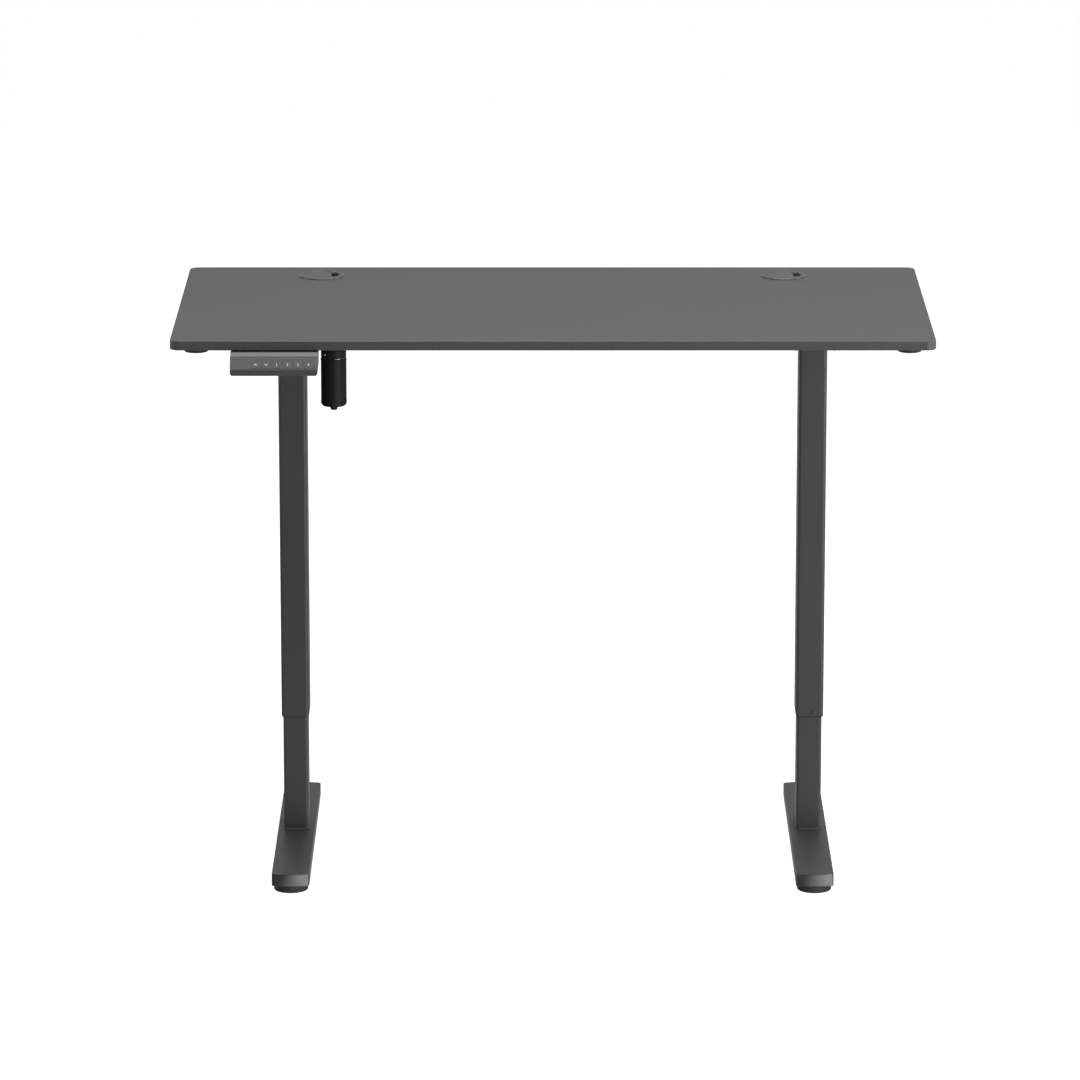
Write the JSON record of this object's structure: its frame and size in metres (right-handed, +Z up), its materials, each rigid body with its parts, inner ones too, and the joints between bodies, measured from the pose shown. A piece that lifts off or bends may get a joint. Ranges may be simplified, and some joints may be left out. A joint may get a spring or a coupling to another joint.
{
  "type": "height adjustable standing desk",
  "caption": "Electric sitting-standing desk: a rectangular top on two telescopic columns with flat feet, a motor, a drive rod and a keypad under the front edge.",
  "frame": {"origin": "middle of the footprint's bounding box, on the floor, under the levelling pads", "axes": "+Z up, +X along the top's width to the right as seen from the front, front towards -Y where the keypad is"},
  "size_m": [1.2, 0.63, 0.9068],
  "materials": {
    "board_laminate": "matt dark grey laminate",
    "powder_coat": "matt black powder coat",
    "gear_casting": "black painted casting",
    "motor_black": "semi-gloss black",
    "bright_steel": "zinc-plated steel",
    "black_plastic": "matt black moulded plastic",
    "controller_plastic": "satin dark grey moulded plastic",
    "display_window": "satin dark grey window, unlit",
    "circuit_board": "green circuit board",
    "black_rubber": "matt black rubber",
    "nylon": "black nylon",
    "brass": "machined brass-coloured metal"
  },
  "bodies": {
    "left_base": {"foot_left": "powder_coat", "lower_tube_left": "powder_coat", "inner_glide_left": "nylon", "spindle_nut_left": "brass", "foot_bolt_left_front": "bright_steel", "foot_bolt_left_rear": "bright_steel"},
    "upper_frame": {"control_box_cover": "black_plastic", "control_box_housing": "black_plastic", "control_circuit_board": "circuit_board", "corner_disc_left_front": "black_rubber", "corner_disc_left_rear": "black_rubber", "corner_disc_right_front": "black_rubber", "corner_disc_right_rear": "black_rubber", "desktop": "board_laminate", "gear_unit_left": "gear_casting", "gear_unit_right": "gear_casting", "glide_ring_left": "nylon", "glide_ring_right": "nylon", "glide_screw_left": "powder_coat", "glide_screw_right": "powder_coat", "grommet_left": "black_plastic", "grommet_right": "black_plastic", "keypad_circuit_board": "circuit_board", "keypad_display": "display_window", "keypad_faceplate": "controller_plastic", "keypad_housing": "controller_plastic", "motor_can": "motor_black", "motor_end_cap": "motor_black", "motor_flange": "motor_black", "motor_screw": "bright_steel", "rail_front_inner": "powder_coat", "rail_front_outer": "powder_coat", "rail_rear_inner": "powder_coat", "rail_rear_outer": "powder_coat", "side_bracket_left": "powder_coat", "side_bracket_right": "powder_coat", "upper_tube_left": "powder_coat", "upper_tube_right": "powder_coat"},
    "right_base": {"foot_right": "powder_coat", "lower_tube_right": "powder_coat", "inner_glide_right": "nylon", "spindle_nut_right": "brass", "foot_bolt_right_front": "bright_steel", "foot_bolt_right_rear": "bright_steel"},
    "left_screw": {"lead_screw_left": "bright_steel"},
    "cap_left": {"grommet_cap_left": "black_plastic"},
    "pad_left_front": {"levelling_pad_left_front": "black_rubber"},
    "pad_left_rear": {"levelling_pad_left_rear": "black_rubber"},
    "right_screw": {"lead_screw_right": "bright_steel"},
    "cap_right": {"grommet_cap_right": "black_plastic"},
    "pad_right_front": {"levelling_pad_right_front": "black_rubber"},
    "pad_right_rear": {"levelling_pad_right_rear": "black_rubber"},
    "rod": {"drive_rod": "bright_steel"},
    "button_up": {"key_up": "controller_plastic"},
    "button_down": {"key_down": "controller_plastic"},
    "button_one": {"key_one": "controller_plastic"},
    "button_two": {"key_two": "controller_plastic"},
    "button_three": {"key_three": "controller_plastic"},
    "button_memory": {"key_memory": "controller_plastic"}
  },
  "joints": [
    {"name": "height", "type": "slide", "parent": "left_base", "child": "upper_frame", "axis": [0, 0, 1], "range_m": [-0.185, 0.265]},
    {"name": "right_column", "type": "slide", "parent": "upper_frame", "child": "right_base", "axis": [0, 0, -1], "range_m": [-0.185, 0.265]},
    {"name": "left_screw_turn", "type": "hinge", "parent": "upper_frame", "child": "left_screw", "pos_m": [-0.4195, 0.015, 0.57], "axis": [0, 0, 1], "range_deg": [-5550, 7950]},
    {"name": "right_screw_turn", "type": "hinge", "parent": "upper_frame", "child": "right_screw", "pos_m": [0.4195, 0.015, 0.57], "axis": [0, 0, 1], "range_deg": [-5550, 7950]},
    {"name": "rod_turn", "type": "hinge", "parent": "upper_frame", "child": "rod", "pos_m": [0, 0.015, 0.868], "axis": [1, 0, 0], "range_deg": [-5550, 7950]},
    {"name": "press_up", "type": "slide", "parent": "upper_frame", "child": "button_up", "axis": [0, 0.848, -0.5299], "range_m": [0, 0.0006], "stiffness_N_per_m": 1500, "springref_m": -0.0005},
    {"name": "press_down", "type": "slide", "parent": "upper_frame", "child": "button_down", "axis": [0, 0.848, -0.5299], "range_m": [0, 0.0006], "stiffness_N_per_m": 1500, "springref_m": -0.0005},
    {"name": "press_one", "type": "slide", "parent": "upper_frame", "child": "button_one", "axis": [0, 0.848, -0.5299], "range_m": [0, 0.0006], "stiffness_N_per_m": 1500, "springref_m": -0.0005},
    {"name": "press_two", "type": "slide", "parent": "upper_frame", "child": "button_two", "axis": [0, 0.848, -0.5299], "range_m": [0, 0.0006], "stiffness_N_per_m": 1500, "springref_m": -0.0005},
    {"name": "press_three", "type": "slide", "parent": "upper_frame", "child": "button_three", "axis": [0, 0.848, -0.5299], "range_m": [0, 0.0006], "stiffness_N_per_m": 1500, "springref_m": -0.0005},
    {"name": "press_memory", "type": "slide", "parent": "upper_frame", "child": "button_memory", "axis": [0, 0.848, -0.5299], "range_m": [0, 0.0006], "stiffness_N_per_m": 1500, "springref_m": -0.0005},
    {"name": "cap_turn_left", "type": "hinge", "parent": "upper_frame", "child": "cap_left", "pos_m": [-0.38, 0.243, 0.905], "axis": [0, 0, 1], "continuous": true},
    {"name": "cap_turn_right", "type": "hinge", "parent": "upper_frame", "child": "cap_right", "pos_m": [0.38, 0.243, 0.905], "axis": [0, 0, 1], "continuous": true},
    {"name": "level_left_front", "type": "slide", "parent": "left_base", "child": "pad_left_front", "axis": [0, 0, -1], "range_m": [0, 0.008]},
    {"name": "level_left_rear", "type": "slide", "parent": "left_base", "child": "pad_left_rear", "axis": [0, 0, -1], "range_m": [0, 0.008]},
    {"name": "level_right_front", "type": "slide", "parent": "right_base", "child": "pad_right_front", "axis": [0, 0, -1], "range_m": [0, 0.008]},
    {"name": "level_right_rear", "type": "slide", "parent": "right_base", "child": "pad_right_rear", "axis": [0, 0, -1], "range_m": [0, 0.008]}
  ],
  "couplings": [
    {"joint": "right_column", "follows": "height", "ratio": 1},
    {"joint": "left_screw_turn", "follows": "height", "rad_per_m": 523.6},
    {"joint": "right_screw_turn", "follows": "height", "rad_per_m": 523.6},
    {"joint": "rod_turn", "follows": "height", "rad_per_m": 523.6}
  ]
}
